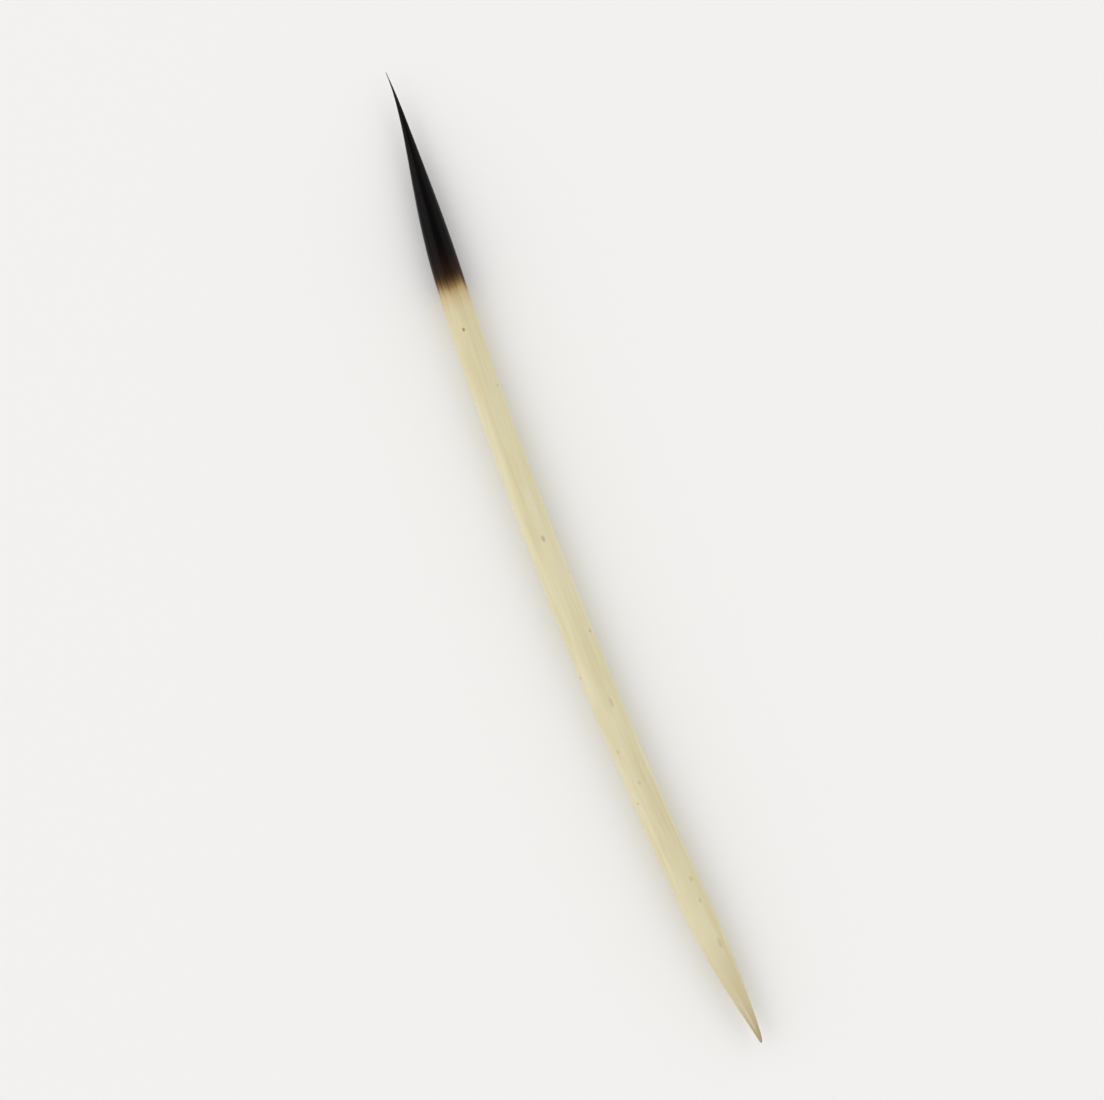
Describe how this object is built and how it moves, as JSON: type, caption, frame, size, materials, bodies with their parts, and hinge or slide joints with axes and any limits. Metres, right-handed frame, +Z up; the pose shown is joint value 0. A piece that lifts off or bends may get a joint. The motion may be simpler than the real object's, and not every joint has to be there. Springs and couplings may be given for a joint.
{
  "type": "porcupine quill",
  "caption": "Slender natural quill that lies on its side: a gently bowed pale shaft with a dark needle point at one end and a narrow root neck at the other.",
  "frame": {"origin": "below the middle of the quill, on the surface that it rests on", "axes": "+X along the quill towards its point, +Y towards the outside of its bow, +Z up"},
  "size_m": [0.065, 0.0026, 0.0019],
  "materials": {
    "keratin": "satin ivory keratin with fine lengthwise streaks and a black point that fades through brown"
  },
  "bodies": {
    "root": {"quill": "keratin"}
  },
  "joints": []
}
